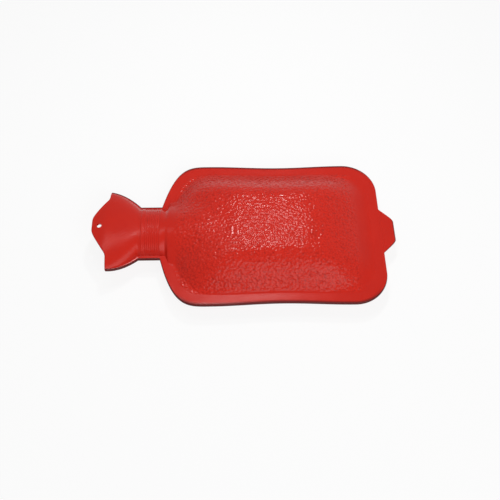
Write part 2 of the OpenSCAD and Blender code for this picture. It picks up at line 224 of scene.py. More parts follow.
def fold_hw(x):
    """Half width of the fold, where the flat rim turns up into the wall."""
    inner = np.minimum(edge_hw(x) - FIN_W, soft_max(CORE_HW, outline(x, RIM_W, FOLD_POWER), ROOT_BLEND))
    return np.where(x < NECK_X, mix(CORE_HW, MOUTH_HW - MOUTH_FIN, flare(x)), inner)


def seam(x):
    """Height of the seam: level, and rising along the funnel to the mouth's corners."""
    return SEAM_Z + MOUTH_LIFT*along_funnel(x)


def slope_factor(x):
    """How much longer a step across is than the distance that it moves from the slanting edge."""
    slant = (edge_hw(x + SLOPE_STEP) - edge_hw(x - SLOPE_STEP))/(2*SLOPE_STEP)
    return np.sqrt(1 + np.minimum(slant**2, STEEPEST**2))


def from_edge(x, y):
    """Distance of a point from the bladder's outer edge."""
    side = (edge_hw(x) - np.abs(y))/slope_factor(x)
    dx, dy = x - CORNER_X, np.abs(y) - BODY_HW + CORNER_R
    corner = CORNER_R - np.hypot(np.maximum(dx, 0), np.maximum(dy, 0))
    return np.where((dx > 0) & (dy > 0), corner, np.minimum(side, END_X - x))


def side_line(x):
    """Half width of the fold along the shoulders and sides, running straight on past the end's corners."""
    return np.where(x < CORNER_X, fold_hw(x), BODY_HW - RIM_W)


def pillow(x, y, full):
    """Rise of the pillow inside its fold: four slopes that meet at hips below a nearly level top."""
    f = side_line(x)
    a = 1 - clamp(np.minimum((x - ROOT_X)/NECK_SLOPE, (FOLD_X - x)/END_SLOPE))
    b = 1 - clamp((f - np.abs(y))/SIDE_SLOPE)
    inside = np.maximum(0, 1 - (a**HIP + b**HIP)**(1/HIP))
    inside = inside*inside/(inside + FOLD_SOFT)*(1 + FOLD_SOFT)
    slope = 1 - np.maximum(0, 1 - inside)**FLANK_ROUND
    return full*slope*(1 - CROWNING*clamp(np.abs(y)/f)**2)


def neck_ridge(x, y, full):
    """Rise of the neck: it climbs towards the bladder's height full while it widens and fades."""
    s = clamp((x - START_X)/NECK_FADE)
    q = np.sqrt(s)*ease(s/NECK_ENTRY)
    wide = np.minimum(fold_hw(x), CORE_HW*(1 + NECK_SPREAD*q))
    return mix(NECK_HH - HALF_T, full, s)*(1 - s**NECK_LATE)*dome(y/wide, mix(NECK_ROUND, NECK_MELT, q))


def off_seams(x, y):
    """1 over the back of the neck, falling to 0 at the seams beside it."""
    return clamp(SEAM_CLEAR*dome(y/fold_hw(x), 0.5))


def bead(x, y):
    """The small bead round the neck where the funnel begins."""
    return BEAD_H*ease((BEAD_W/2 + BEAD_REACH - np.abs(x - BEAD_X))/BEAD_SOFT)*off_seams(x, y)


def funnel_wall(x, y, high):
    """Rise of the funnel's wall above its thin corners, high being half its height at the middle."""
    return (high - HALF_T)*dome(y/fold_hw(x), mix(NECK_ROUND, MOUTH_ROUND, flare(x)))


def hang_fall(x):
    """How far the upper wall has sunk towards the hanging tab's tip."""
    return HANG_DROOP*ease((MOUTH_X - x)/HANG_LEN)


def body_wall(x, y, full):
    """Rise of the bladder's wall, the pillow and the neck's ridge merged."""
    return (pillow(x, y, full)**MERGE + neck_ridge(x, y, full)**MERGE)**(1/MERGE)


def upper(x, y):
    """Rise of the upper wall above the rim."""
    high = mix(NECK_HH, MOUTH_H/2, flare(x)) - seam(x) + SEAM_Z - hang_fall(x)
    return np.where(x < NECK_X, funnel_wall(x, y, high), body_wall(x, y, CROWN_H)) + bead(x, y)


def lower(x, y):
    """Depth of the lower wall below the rim."""
    high = mix(NECK_HH, MOUTH_H/2, flare(x)) + seam(x) - SEAM_Z
    return np.where(x < NECK_X, funnel_wall(x, y, high), body_wall(x, y, BELLY_H))


def tab_reach(y, base_w, tip_w, length):
    """How far a tab reaches beyond its root line at y, with the corners of its tip softened."""
    side = length*(base_w/2 - np.abs(y))/((base_w - tip_w)/2)
    top = length + TIP_SOFT*TAB_R
    return np.clip(top - soft_max(top - side, 0, TAB_R), 0, length)


def end_reach(y):
    return tab_reach(y, TAB_BASE_W, TAB_TIP_W, TAB_LEN)


def hang_reach(y):
    return tab_reach(y - HANG_SHIFT, HANG_BASE_W, HANG_TIP_W, HANG_LEN)


# The bottle's sections, each a closed ring of points in millimetres

def across(x):
    """Positions of a section's points across the upper wall, from +Y to -Y."""
    e = float(edge_hw(x))
    f = min(float(fold_hw(x)), e - LEAST_RIM)
    soft = min(EDGE_R*float(slope_factor(x)), 0.5*(e - f))
    side = [e - soft*(1 - math.cos(math.pi/2*k/EDGE_POINTS)) for k in range(EDGE_POINTS + 1)]
    side += [mix(e - soft, f, (k + 1)/(RIM_POINTS + 1)) for k in range(RIM_POINTS)]
    wall = [f*math.cos(math.pi*k/WALL_POINTS) for k in range(WALL_POINTS + 1)]
    return np.array(side + wall + [-y for y in reversed(side)])


def half_thickness(x, beyond_edge):
    """Half the rim's thickness where the nearest edge is beyond_edge away: it is rounded off at the edge."""
    flat = mix(HALF_T, TAB_T/2, ease((x - END_X + TAB_STEP)/TAB_STEP_LEN))
    near = clamp(beyond_edge/EDGE_R)
    return flat - EDGE_R*(1 - np.sqrt(np.maximum(0, 1 - (1 - near)**2)))


def outer_ring(x, end_share=0.0, lip_share=0.0):
    """One section of the outside: across the top from +Y to -Y and back underneath. end_share and lip_share
    say how much of the end tab's reach and of the hanging tab's reach the section follows."""
    y = across(x)
    side = (edge_hw(x) - np.abs(y))/slope_factor(x)
    reach = end_reach(y)
    free = TAB_FREE*reach/TAB_LEN if end_share > 0 else 0
    x_low = x + reach*end_share
    x_top = x_low - hang_reach(y)*lip_share
    halves = []
    for wall_x, rise, sign in ((x_top, upper, 1), (x_low, lower, -1)):
        beyond_edge = np.minimum(side + free, END_X + reach - wall_x)
        height = half_thickness(wall_x, beyond_edge) + rise(np.minimum(wall_x, END_X), y)
        halves.append(np.stack([wall_x, y, np.maximum(0, seam(wall_x) + sign*height)], -1))
    return np.concatenate([halves[0], halves[1][::-1]])


def inner_ring(x, shares, wide, roof, floor, lip_share=0.0):
    """One section of the inside, its points at shares of its half width wide, between a roof and a floor."""
    y = wide*shares
    x_low = np.full_like(y, x)
    x_top = x_low - hang_reach(y)*lip_share
    top = np.stack([x_top, y, roof(x_top, y)], -1)
    low = np.stack([x_low, y, floor(x_low, y)], -1)
    return np.concatenate([top, low[::-1]])


def funnel_inside(x, shares, lip_share):
    """One section of the funnel's inside, between the lip and the insert's flange."""
    t = float(clamp((SEAT_X - x)/(SEAT_X - MOUTH_X)))
    wide = mix(FLANGE_R + SEAT_SIDE, float(fold_hw(MOUTH_X)) - WALL, 1 - (1 - t)**2)
    high = mix(FLANGE_R + SEAT_TOP, MOUTH_H/2 - WALL, t)

    def arch(wall_x, y):
        return dome(y/wide, mix(NECK_ROUND, MOUTH_ROUND, flare(wall_x)))

    def roof(wall_x, y):
        return seam(wall_x) + (high - seam(wall_x) + SEAM_Z - hang_fall(wall_x))*arch(wall_x, y)

    def floor(wall_x, y):
        return np.maximum(WALL, seam(wall_x) - (high + seam(wall_x) - SEAM_Z)*arch(wall_x, y))

    return inner_ring(x, shares, wide, roof, floor, lip_share)


def bore_ring(x, shares, r):
    """One round section about the neck's axis."""
    return inner_ring(x, shares, r, lambda wall_x, y: SEAM_Z + r*dome(y/r, 0.5),
                      lambda wall_x, y: SEAM_Z - r*dome(y/r, 0.5))


def bladder_inside(x, shares):
    """One section of the passage behind the insert and of the bladder's hollow."""
    t = float(ease((x - HOLLOW_X)/HOLLOW_WIDENS))
    wide = mix(PASSAGE_R, float(fold_hw(x)) - HOLLOW_INSET, t)
    level = HALF_T - WALL - (1 - t)*(NECK_HH - WALL - PASSAGE_R)

    def height(rise, wall_x, y):
        return np.maximum(LEAST_HOLLOW, (rise(wall_x, y) + level)*dome((y/wide)**HOLLOW_SQUARE, HOLLOW_ROUND))

    return inner_ring(x, shares, wide, lambda wall_x, y: SEAM_Z + height(upper, wall_x, y),
                      lambda wall_x, y: np.maximum(WALL, SEAM_Z - height(lower, wall_x, y)))


def end_rings():
    """Sections over the end tab, from its tip back to where the whole section is in front of it."""
    rings = []
    for share in 1 - np.linspace(0, 1, TAB_RINGS + 1)[:-1]:
        bend = math.sin(math.pi/2*share)
        rings.append(outer_ring(END_X - END_ROUND*(1 - bend) - STITCH, end_share=share))
    return rings


def body_rings():
    """Sections from the end's rounding to the mouth, close together where the outline turns."""
    runs = (np.linspace(END_X - END_ROUND, FOLD_X, END_RINGS + 1),
            FOLD_X - END_SLOPE*(1 - np.sin(np.linspace(math.pi/2, 0, SLOPE_RINGS + 1))),
            np.linspace(FOLD_X - END_SLOPE, SHOULDER_X, SIDE_RINGS + 1),
            mix(START_X, SHOULDER_X, np.linspace(1, 0, SHOULDER_RINGS + 1)**SHOULDER_GATHER),
            np.linspace(START_X, RIB_X, RIB_RINGS*RIB_COUNT + 1),
            np.linspace(RIB_X, NECK_X, NECK_RINGS + 1))
    funnel = NECK_X - (NECK_X - LIP_X)*np.linspace(0, 1, FUNNEL_RINGS + 1)**FUNNEL_GATHER
    return [outer_ring(x) for x in np.concatenate([run[:-1] for run in runs] + [funnel])]


def lip_rings():
    """Sections where the upper wall runs on as the hanging tab."""
    return [outer_ring(mix(LIP_X, MOUTH_X + LIP_R, s), lip_share=s**LIP_GATHER)
            for s in np.linspace(0, 1, LIP_RINGS + 1)[1:]]


def lip_turn(outer, inner):
    """Half a turn round the lip, from the outer wall to the inner one."""
    middle, half = (outer + inner)/2, (outer - inner)/2
    out = np.minimum(np.linalg.norm(half, axis=1), LIP_R)
    rings = []
    for k in range(1, LIP_TURN):
        a = math.pi*k/LIP_TURN
        ring = middle + half*math.cos(a)
        ring[:, 0] -= out*math.sin(a)
        rings.append(ring)
    return rings


def inside_rings():
    """Sections of the inside: the funnel, the seats of flange and insert, the passage and the bladder."""
    shares = KEEP_IN*across(MOUTH_X + LIP_R)/MOUTH_HW
    steps = np.concatenate([np.linspace(0, UNDER_TAB, FUNNEL_STEPS + 1),
                            np.linspace(UNDER_TAB, 1, FUNNEL_STEPS + 1)[1:]])
    rings = [funnel_inside(mix(MOUTH_X + LIP_R, SEAT_X, s), shares, (1 - clamp(s/UNDER_TAB))**LIP_GATHER)
             for s in steps]
    for x, r in ((SEAT_X + SEAT_STEP, FLANGE_R + FIT), (SEAT_X + FLANGE_T, FLANGE_R + FIT),
                 (SEAT_X + FLANGE_T, INSERT_R + FIT), (SEAT_X + INSERT_LEN, INSERT_R + FIT),
                 (SEAT_X + INSERT_LEN + PASSAGE_STEP, PASSAGE_R)):
        rings.append(bore_ring(x, shares, r))
    slope_x = FOLD_X - END_SLOPE
    bends = np.sin(np.linspace(0, LAST_TURN, FAR_RINGS + 1)[1:])
    places = np.concatenate([np.linspace(HOLLOW_X, SHOULDER_X, PASSAGE_RINGS + 1),
                             np.linspace(SHOULDER_X, slope_x, HOLLOW_RINGS + 1)[1:],
                             slope_x + (END_SLOPE - HOLLOW_INSET)*bends])
    return rings + [bladder_inside(x, shares) for x in places]


def bottle_rings():
    """All sections in order, from the end tab round the outside to the lip, and through the funnel and the
    neck inside, and the number of those that are outside."""
    outside, inside = end_rings() + body_rings() + lip_rings(), inside_rings()
    return np.array(outside + lip_turn(outside[-1], inside[0]) + inside), len(outside)


def soften(rings, first, last):
    """Takes the sharpness off the creases: each point's height moves towards its neighbours'."""
    z = rings[:, :, 2]
    for _ in range(2):
        near = (np.roll(z, 1, 1) + np.roll(z, -1, 1) + np.roll(z, 1, 0) + np.roll(z, -1, 0))/4
        z[first:last] = mix(z, near, 0.5)[first:last]


def ease_root(rings, count):
    """Runs the neck smoothly into the shoulders: heights near the root are averaged along the bottle."""
    z, x = rings[:, :, 2], rings[:, 0, 0]
    root = (np.abs(x - START_X) < ROOT_EASE) & (np.arange(len(x)) < count)
    for _ in range(ROOT_ROUNDS):
        z[root] = mix(z, (np.roll(z, 1, 0) + np.roll(z, -1, 0))/2, 0.5)[root]


def grain_mask(x, y):
    """1 where the panels carry the mould's grain, fading out to the fold, the neck and the closed end."""
    inside = ease((from_edge(x, y) - RIM_W - GRAIN_INSET)/GRAIN_FADE)
    return inside*ease((x - GRAIN_START)/GRAIN_START_FADE)*ease((GRAIN_END - x)/GRAIN_END_FADE)


def painted_edge_shade(rings):
    """1 on the very edge of the rim and the tabs, falling to 0 beside it: where shade is painted darker along
    the edge.
    """
    n = rings.shape[1]
    top = rings[:, :n//2]
    reach = np.minimum(np.linalg.norm(top - top[:, :1], axis=2), np.linalg.norm(top - top[:, -1:], axis=2))
    side = 1 - ease((reach - EDGE_SHADE_W)/EDGE_SHADE_FADE)
    end = 1 - clamp(np.arange(len(rings))/EDGE_SHADE_RINGS)
    half = np.maximum(side, end[:, None])
    return np.concatenate([half, half[:, ::-1]], 1)


# Meshes

def new_piece(name, points=(), faces=()):
    """A new object whose mesh has these points, in millimetres, and these faces."""
    mesh = bpy.data.meshes.new(name)
    mesh.from_pydata((np.reshape(points, (-1, 3))/MM).tolist(), [], faces)
    piece = bpy.data.objects.new(name, mesh)
    bpy.context.collection.objects.link(piece)
    return piece


def tube_mesh(name, rings):
    """A mesh over rings of equal numbers of points. Its first and last ring are closed by strips."""
    count, n = rings.shape[:2]
    i, j = np.meshgrid(np.arange(count - 1), np.arange(n), indexing="ij")
    a, b = i*n + j, i*n + (j + 1) % n
    cap = [[k, k + 1, n - 2 - k, n - 1 - k] for k in range(n//2 - 1)]
    faces = np.stack([a, a + n, b + n, b], -1).reshape(-1, 4).tolist() + cap
    faces += [[(count - 1)*n + k for k in reversed(face)] for face in cap]
    piece = new_piece(name, rings, faces)
    piece.data.shade_smooth()
    return piece


def loop_mesh(name, rings):
    """A closed mesh over rings of equal numbers of points, whose last ring is joined to its first."""
    count, n = rings.shape[:2]
    faces = []
    for i in range(count):
        a, b = i*n, (i + 1) % count*n
        faces += [[a + k, a + (k + 1) % n, b + (k + 1) % n, b + k] for k in range(n)]
    piece = new_piece(name, rings, faces)
    recalculate(piece)
    return piece


def recalculate(piece):
    """Merges doubles, points all faces outwards and shades the piece smooth up to its sharp edges."""
    work = bmesh.new()
    work.from_mesh(piece.data)
    bmesh.ops.remove_doubles(work, verts=work.verts, dist=1e-6)
    bmesh.ops.recalc_face_normals(work, faces=work.faces)
    work.to_mesh(piece.data)
    work.free()
    piece.data.shade_smooth()
    piece.data.set_sharp_from_angle(angle=SHARP)


def rounded(profile, r, steps):
    """Rounds the corners of a closed profile by radius r in steps, or by less where a side is short."""
    out = []
    n = len(profile)
    for i, p in enumerate(profile):
        p = np.array(p, float)
        a, b = np.array(profile[i - 1], float) - p, np.array(profile[(i + 1) % n], float) - p
        cut = min(r, 0.45*np.linalg.norm(a), 0.45*np.linalg.norm(b))
        start, end = p + a/np.linalg.norm(a)*cut, p + b/np.linalg.norm(b)*cut
        for k in range(steps + 1):
            t = k/steps
            out.append((start*(1 - t)**2 + 2*p*t*(1 - t) + end*t*t).tolist())
    return out


def lathe(name, profile):
    """A solid turned about the neck's axis, from a closed profile of [distance from the seat, radius]."""
    angles = [math.tau*k/TURN_POINTS for k in range(TURN_POINTS)]
    return loop_mesh(name, np.array([[[SEAT_X + d, r*math.cos(a), SEAM_Z + r*math.sin(a)] for a in angles]
                                     for d, r in profile]))


def give(piece, name, values):
    """Stores one number for each point of a piece."""
    attribute = piece.data.attributes.new(name, "FLOAT", "POINT")
    attribute.data.foreach_set("value", np.asarray(values, np.float32).ravel())


def settle(piece):
    """Turns a piece with its modifiers into a plain mesh."""
    done = bpy.data.meshes.new_from_object(piece.evaluated_get(bpy.context.evaluated_depsgraph_get()))
    piece.modifiers.clear()
    old = piece.data
    piece.data = done
    done.name = piece.name
    bpy.data.meshes.remove(old)


def combine(piece, other, operation, solver):
    """Cuts another piece away from this one or joins it on, and keeps the result as a plain mesh."""
    modifier = piece.modifiers.new(other.name, "BOOLEAN")
    modifier.operation = operation
    modifier.object = other
    modifier.solver = solver
    settle(piece)
    bpy.data.objects.remove(other)


# Geometry Nodes

def geometry_group(name, numbers):
    """An empty Geometry Nodes tree whose inputs are a geometry, these named numbers and a material."""
    group = bpy.data.node_groups.new(name, "GeometryNodeTree")
    face = group.interface
    face.new_socket("Geometry", in_out="INPUT", socket_type="NodeSocketGeometry")
    face.new_socket("Geometry", in_out="OUTPUT", socket_type="NodeSocketGeometry")
    for label in numbers:
        face.new_socket(label, in_out="INPUT", socket_type="NodeSocketFloat")
    face.new_socket("Material", in_out="INPUT", socket_type="NodeSocketMaterial")
    return group, add(group, "NodeGroupInput").outputs


def end_group(group, geometry, material):
    """Ends a tree: the geometry is made real and given its material."""
    real = add(group, "GeometryNodeRealizeInstances", {"Geometry": geometry})
    painted = add(group, "GeometryNodeSetMaterial", {"Geometry": real.outputs[0], "Material": material})
    add(group, "NodeGroupOutput", {0: painted.outputs[0]})
    return group


def run_group(piece, group, values):
    """Runs a tree on a piece with these inputs, each set by its socket's identifier, as a plain mesh."""
    modifier = piece.modifiers.new(group.name, "NODES")
    modifier.node_group = group
    for socket in group.interface.items_tree:
        if socket.in_out == "INPUT" and socket.name in values:
            modifier[socket.identifier] = values[socket.name]
    settle(piece)


def grip_ribs_group():
    """Rounded grooves across the neck: every point sinks by a cosine of its place along the neck."""
    group, inputs = geometry_group("grip ribs", ("Start", "Pitch", "Depth"))
    place = add(group, "ShaderNodeSeparateXYZ", {0: add(group, "GeometryNodeInputPosition").outputs[0]})
    along = add(group, "ShaderNodeMath", {0: place.outputs["X"], 1: inputs["Start"]}, operation="SUBTRACT")
    turns = add(group, "ShaderNodeMath", {0: along.outputs[0], 1: inputs["Pitch"]}, operation="DIVIDE")
    angle = add(group, "ShaderNodeMath", {0: turns.outputs[0], 1: math.tau}, operation="MULTIPLY")
    wave = add(group, "ShaderNodeMath", {0: angle.outputs[0]}, operation="COSINE")
    sunk = add(group, "ShaderNodeMath", {0: wave.outputs[0], 1: 1.0}, operation="SUBTRACT")
    depth = add(group, "ShaderNodeMath", {0: sunk.outputs[0], 1: inputs["Depth"]}, operation="MULTIPLY")
    mask = add(group, "GeometryNodeInputNamedAttribute", {"Name": "ribbed"}, data_type="FLOAT")
    held = add(group, "ShaderNodeMath", {0: depth.outputs[0], 1: mask.outputs["Attribute"]},
               operation="MULTIPLY")
    half = add(group, "ShaderNodeMath", {0: held.outputs[0], 1: 0.5}, operation="MULTIPLY")
    normal = add(group, "GeometryNodeInputNormal")
    move = add(group, "ShaderNodeVectorMath", {0: normal.outputs[0], "Scale": half.outputs[0]},
               operation="SCALE")
    moved = add(group, "GeometryNodeSetPosition", {"Geometry": inputs["Geometry"], "Offset": move.outputs[0]})
    return end_group(group, moved.outputs[0], inputs["Material"])


def screw_thread_group():
    """A rounded ridge that winds along +Z, for a thread outside a core or inside a bore."""
    group, inputs = geometry_group("screw thread", ("Radius", "Pitch", "Turns", "Ridge"))
    length = add(group, "ShaderNodeMath", {0: inputs["Pitch"], 1: inputs["Turns"]}, operation="MULTIPLY")
    path = add(group, "GeometryNodeCurveSpiral", {
        "Resolution": SPIRAL_POINTS, "Rotations": inputs["Turns"], "Start Radius": inputs["Radius"],
        "End Radius": inputs["Radius"], "Height": length.outputs[0]})
    profile = add(group, "GeometryNodeCurvePrimitiveCircle", {
        "Resolution": RIDGE_POINTS, "Radius": inputs["Ridge"]})
    ridge = add(group, "GeometryNodeCurveToMesh", {
        "Curve": path.outputs[0], "Profile Curve": profile.outputs[0], "Fill Caps": True})
    smooth = add(group, "GeometryNodeSetShadeSmooth", {0: ridge.outputs[0]})
    return end_group(group, smooth.outputs[0], inputs["Material"])


# Materials

def surface(name):
    """A new material with one Principled surface. Returns the material, its tree and the surface node."""
    material = bpy.data.materials.new(name)
    material.use_nodes = True
    tree = material.node_tree
    tree.nodes.clear()
    skin = add(tree, "ShaderNodeBsdfPrincipled")
    add(tree, "ShaderNodeOutputMaterial", {"Surface": skin.outputs[0]})
    return material, tree, skin


def every(size):
    """The scale of a pattern whose cells have this size in millimetres."""
    return MM/size


def moulded_rubber():
    """Press-moulded natural rubber, dyed through: a deep warm red with a soft waxy sheen. The bladder's
    panels carry the mould's pebble grain, which breaks the sheen into sparkles. The rest is smooth."""
    material, tree, skin = surface("moulded natural rubber")
    place = add(tree, "ShaderNodeTexCoord").outputs["Object"]
    panel = add(tree, "ShaderNodeAttribute", attribute_name="panel").outputs["Fac"]
    edge_shade = add(tree, "ShaderNodeAttribute", attribute_name="edge_shade").outputs["Fac"]
    # Faint clouds in the dye, 18 mm across.
    clouds = add(tree, "ShaderNodeTexNoise", {
        "Vector": place, "Scale": every(18.18), "Detail": 3.0, "Roughness": 0.55})
    dyed = add(tree, "ShaderNodeMix", {
        "A": linear("#C21F13"), "B": linear("#CC2516"), "Factor": clouds.outputs[0]}, data_type="RGBA")
    # The mould's pebbles, 2.1 mm apart. The panel is painted a little lighter and the valleys between the
    # pebbles darker: painted light and shade of their relief.
    pebbles = add(tree, "ShaderNodeTexVoronoi", {
        "Vector": place, "Scale": every(2.083), "Smoothness": 0.25, "Randomness": 0.9}, feature="SMOOTH_F1")
    hollow = add(tree, "ShaderNodeMath", {0: pebbles.outputs["Distance"], 1: 2.0}, operation="POWER")
    valley_shade = add(tree, "ShaderNodeMath", {0: hollow.outputs[0], 1: panel}, operation="MULTIPLY")
    # Painted light: the grain's panel a little lighter.
    top = add(tree, "ShaderNodeMix", {
        "A": dyed.outputs["Result"], "B": linear("#D42718"), "Factor": panel}, data_type="RGBA")
    # Painted shade in the valleys between the pebbles.
    deep = add(tree, "ShaderNodeMix", {
        "A": top.outputs["Result"], "B": linear("#A91A0F"), "Factor": valley_shade.outputs[0]}, data_type="RGBA")
    # Painted shade, darkest of all, along the very edge of the rim and the tabs.
    dark = add(tree, "ShaderNodeMix", {
        "A": deep.outputs["Result"], "B": linear("#5A1614"), "Factor": edge_shade}, data_type="RGBA")
    tree.links.new(dark.outputs["Result"], skin.inputs["Base Color"])
    # The pebbles' relief is drawn as lumps of 3 mm, and the 0.4 mm tooth as one of 0.8 mm, so that they show.
    grain = add(tree, "ShaderNodeTexNoise", {
        "Vector": place, "Scale": every(3.03), "Detail": 0.0, "Roughness": 0.5})
    lumps = add(tree, "ShaderNodeMath", {0: grain.outputs[0], 1: panel}, operation="MULTIPLY")
    coarse = add(tree, "ShaderNodeBump", {"Height": lumps.outputs[0], "Strength": 1.0, "Distance": 0.0009})
    tooth = add(tree, "ShaderNodeTexNoise", {
        "Vector": place, "Scale": every(0.8333), "Detail": 2.0, "Roughness": 0.6})
    fine = add(tree, "ShaderNodeBump", {
        "Height": tooth.outputs[0], "Strength": 0.25, "Distance": 0.00015, "Normal": coarse.outputs[0]})
    tree.links.new(fine.outputs[0], skin.inputs["Normal"])
    # The gloss varies with the clouds, and the grain's pebbles are a little shinier than the smooth parts.
    patch = add(tree, "ShaderNodeMapRange", {
        "Value": clouds.outputs[0], "From Min": 0.3, "From Max": 0.7, "To Min": 0.2, "To Max": 0.25})
    rough = add(tree, "ShaderNodeMath", {0: panel, 1: -0.02, 2: patch.outputs[0]}, operation="MULTIPLY_ADD")
    tree.links.new(rough.outputs[0], skin.inputs["Roughness"])
    skin.inputs["IOR"].default_value = 1.5
    skin.inputs["Specular IOR Level"].default_value = 0.15
    return material


def turned_brass():
    """Brass turned on a lathe: warm metal with the tool's fine marks, dulled a little by steam."""
    material, tree, skin = surface("turned brass")
    place = add(tree, "ShaderNodeTexCoord").outputs["Object"]
    # Stains from steam, 6 mm across.
    stain = add(tree, "ShaderNodeTexNoise", {"Vector": place, "Scale": every(6.25), "Detail": 4.0})
    tone = add(tree, "ShaderNodeMix", {
        "A": linear("#B08A45"), "B": linear("#D6B36A"), "Factor": stain.outputs[0]}, data_type="RGBA")
    tree.links.new(tone.outputs["Result"], skin.inputs["Base Color"])
    # Tool marks 0.25 mm apart, drawn 0.31 mm apart so that they show. A wave repeats 20 times in tau units.
    marks = add(tree, "ShaderNodeTexWave", {
        "Vector": place, "Scale": math.tau/20*every(0.31432), "Distortion": 0.4},
        wave_type="RINGS", rings_direction="X")
    bump = add(tree, "ShaderNodeBump", {"Height": marks.outputs["Fac"], "Strength": 0.2, "Distance": 0.0001})
    tree.links.new(bump.outputs[0], skin.inputs["Normal"])
    rough = add(tree, "ShaderNodeMapRange", {"Value": stain.outputs[0], "To Min": 0.25, "To Max": 0.45})
    tree.links.new(rough.outputs[0], skin.inputs["Roughness"])
    skin.inputs["Metallic"].default_value = 1.0
    return material


def moulded_plastic():
    """Injection-moulded polypropylene: off-white, satin, with a faint flow pattern and a soft sheen."""
    material, tree, skin = surface("moulded polypropylene")
    place = add(tree, "ShaderNodeTexCoord").outputs["Object"]
    # The flow pattern is 11 mm across. The tooth of 0.3 mm is drawn at 0.7 mm so that it shows.
    flow = add(tree, "ShaderNodeTexNoise", {
        "Vector": place, "Scale": every(11.11), "Detail": 3.0, "Distortion": 0.6})
    tone = add(tree, "ShaderNodeMix", {
        "A": linear("#E4DFD2"), "B": linear("#F0ECE1"), "Factor": flow.outputs[0]}, data_type="RGBA")
    tree.links.new(tone.outputs["Result"], skin.inputs["Base Color"])
    tooth = add(tree, "ShaderNodeTexNoise", {"Vector": place, "Scale": every(0.6667), "Detail": 2.0})
    bump = add(tree, "ShaderNodeBump", {"Height": tooth.outputs[0], "Strength": 0.2, "Distance": 0.00012})
    tree.links.new(bump.outputs[0], skin.inputs["Normal"])
    rough = add(tree, "ShaderNodeMapRange", {"Value": flow.outputs[0], "To Min": 0.32, "To Max": 0.44})
    tree.links.new(rough.outputs[0], skin.inputs["Roughness"])
    skin.inputs["IOR"].default_value = 1.49
    return material


def washer_rubber():
    """Soft sealing rubber: dark grey, dull, with the powdery bloom of a new washer."""
    material, tree, skin = surface("soft sealing rubber")
    place = add(tree, "ShaderNodeTexCoord").outputs["Object"]
    # The bloom lies in specks 3 mm across.
    bloom = add(tree, "ShaderNodeTexNoise", {"Vector": place, "Scale": every(3.333), "Detail": 4.0})
    tone = add(tree, "ShaderNodeMix", {
        "A": linear("#38383A"), "B": linear("#4A4A4C"), "Factor": bloom.outputs[0]}, data_type="RGBA")
    tree.links.new(tone.outputs["Result"], skin.inputs["Base Color"])
    bump = add(tree, "ShaderNodeBump", {"Height": bloom.outputs[0], "Strength": 0.3, "Distance": 0.0001})
    tree.links.new(bump.outputs[0], skin.inputs["Normal"])
    skin.inputs["Roughness"].default_value = 0.62
    skin.inputs["IOR"].default_value = 1.52
    return material


# The pieces

def make_bottle(material):
    """The one-piece rubber bottle, outside and inside, with its grip ribs, its tabs and its hanging hole."""
    rings, count = bottle_rings()
    soften(rings, TAB_RINGS + CRISP_RINGS, count - LIP_RINGS - CRISP_RINGS)
    ease_root(rings, count)
    piece = tube_mesh("bottle_skin", rings)
    x, y = rings[:, :, 0], rings[:, :, 1]
    outer = np.arange(len(rings))[:, None] < count
    neck = (x > RIB_X - MARGIN) & (x < START_X + MARGIN)
    give(piece, "panel", np.where(outer, grain_mask(x, y), 0))
    # Where shade is painted darker along the rim's edge.
    give(piece, "edge_shade", np.where(outer, painted_edge_shade(rings), 0))
    give(piece, "ribbed", np.where(outer & neck, off_seams(x, y), 0))
    run_group(piece, grip_ribs_group(), {
        "Start": RIB_X/MM, "Pitch": RIB_PITCH/MM, "Depth": RIB_DEPTH/MM, "Material": material})
    cut_hole(piece, TIP_X + HOLE_EDGE, HOLE_R, SEAM_Z, 2*SEAM_Z)
    return piece


def cut_hole(piece, x, r, low, high):
    """Cuts a round upright hole on the bottle's middle line and smooths its shading."""
    n = HOLE_POINTS
    angles = [math.tau*k/n for k in range(n)]
    points = [[x + r*math.cos(a), r*math.sin(a), z] for z in (low, high) for a in angles]
    faces = [[k, (k + 1) % n, n + (k + 1) % n, n + k] for k in range(n)]
    faces += [list(range(n))[::-1], list(range(n, 2*n))]
    cutter = new_piece("cutter", points, faces)
    cutter.data.materials.append(piece.data.materials[0])
    combine(piece, cutter, "DIFFERENCE", "MANIFOLD")
    piece.data.set_sharp_from_angle(angle=HOLE_SHARP)


def make_insert(material):
    """The brass insert: a flanged bush whose bore is cut with a coarse thread."""
    root_r = BORE_R + THREAD_H
    profile = [[0, root_r], [0, FLANGE_R], [FLANGE_T, FLANGE_R], [FLANGE_T, INSERT_R], [INSERT_LEN, INSERT_R],
               [INSERT_LEN, root_r]]
    piece = lathe("insert_bush", rounded(profile, INSERT_SOFT, INSERT_STEPS))
    piece.data.materials.append(material)
    return piece


def make_thread(name, radius, start, length, material):
    """A winding ridge about the neck's axis, from start and length long, both from the seat."""
    piece = new_piece(name)
    run_group(piece, screw_thread_group(), {
        "Radius": radius/MM, "Pitch": THREAD_PITCH/MM, "Turns": length/THREAD_PITCH, "Ridge": THREAD_H/MM,
        "Material": material})
    place = Matrix.Translation(Vector((SEAT_X + start, 0, SEAM_Z))/MM)
    piece.data.transform(place @ Matrix.Rotation(math.pi/2, 4, "Y"))
    recalculate(piece)
    return piece


